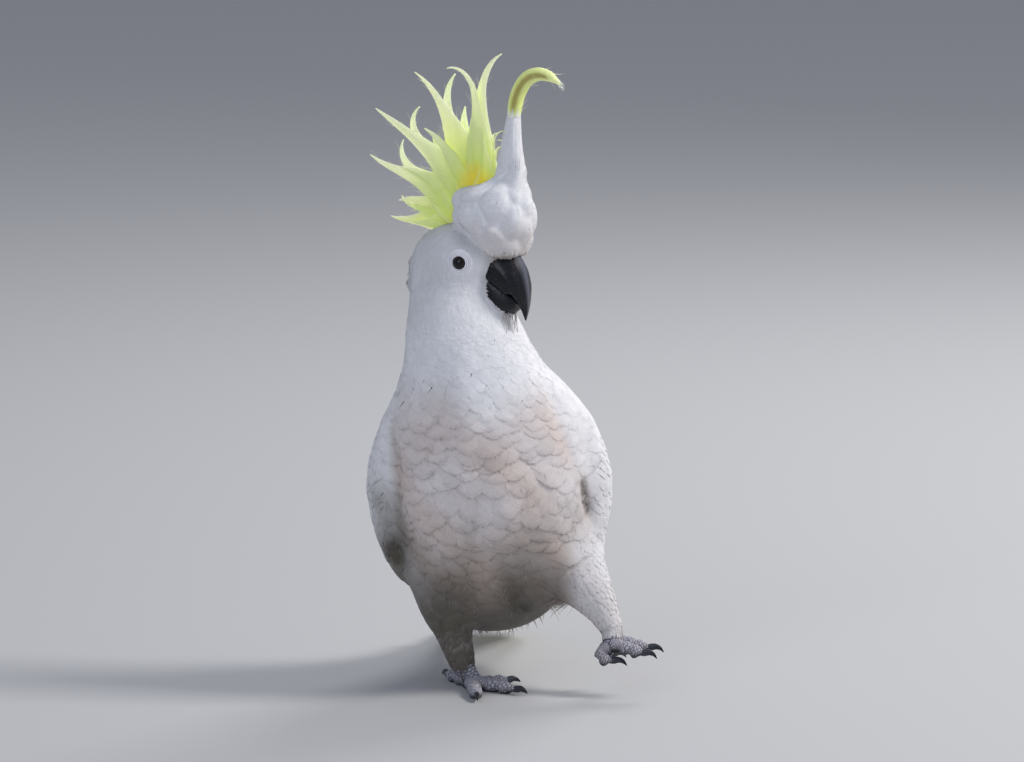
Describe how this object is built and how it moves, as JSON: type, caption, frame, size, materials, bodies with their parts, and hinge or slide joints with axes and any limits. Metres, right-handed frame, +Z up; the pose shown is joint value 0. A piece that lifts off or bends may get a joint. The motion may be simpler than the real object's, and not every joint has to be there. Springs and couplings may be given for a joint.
{
  "type": "cockatoo model",
  "caption": "Life-size museum-style model of a walking sulphur-crested cockatoo with its crest raised, standing on one foot.",
  "frame": {"origin": "on the floor, in the sole of the standing right foot, straight under its ankle", "axes": "+Z up, the bird walks towards -Y, +X is the bird's left side"},
  "size_m": [0.1805, 0.2768, 0.3958],
  "materials": {
    "white_plumage": "soft matt feather, stained warm tan on the breast and belly",
    "yellow_crest": "matt feather, lemon yellow with deep golden roots",
    "black_horn": "satin horn with a grey powder bloom",
    "eye": "wet gloss, near black brown",
    "bare_skin": "finely folded matt skin",
    "scaled_skin": "dark grey scales with a pale mealy bloom"
  },
  "bodies": {
    "root": {"head": "white_plumage", "neck": "white_plumage", "trunk": "white_plumage", "crest_front": "white_plumage", "wing_left": "white_plumage", "wing_right": "white_plumage", "tail": "white_plumage", "thigh_left": "white_plumage", "thigh_right": "white_plumage", "crest_tip": "yellow_crest", "crest_plume_1": "yellow_crest", "crest_plume_2": "yellow_crest", "crest_plume_3": "yellow_crest", "crest_plume_4": "yellow_crest", "crest_plume_5": "yellow_crest", "crest_plume_6": "yellow_crest", "crest_plume_7": "yellow_crest", "crest_plume_8": "yellow_crest", "crest_plume_9": "yellow_crest", "crest_plume_10": "yellow_crest", "bill_upper": "black_horn", "bill_lower": "black_horn", "eye_left": "eye", "eye_ring_left": "bare_skin", "tarsus_left": "scaled_skin", "toe_left_1": "scaled_skin", "claw_left_1": "black_horn", "toe_left_2": "scaled_skin", "claw_left_2": "black_horn", "toe_left_3": "scaled_skin", "claw_left_3": "black_horn", "toe_left_4": "scaled_skin", "claw_left_4": "black_horn", "eye_right": "eye", "eye_ring_right": "bare_skin", "tarsus_right": "scaled_skin", "toe_right_1": "scaled_skin", "claw_right_1": "black_horn", "toe_right_2": "scaled_skin", "claw_right_2": "black_horn", "toe_right_3": "scaled_skin", "claw_right_3": "black_horn", "toe_right_4": "scaled_skin", "claw_right_4": "black_horn"}
  },
  "joints": []
}
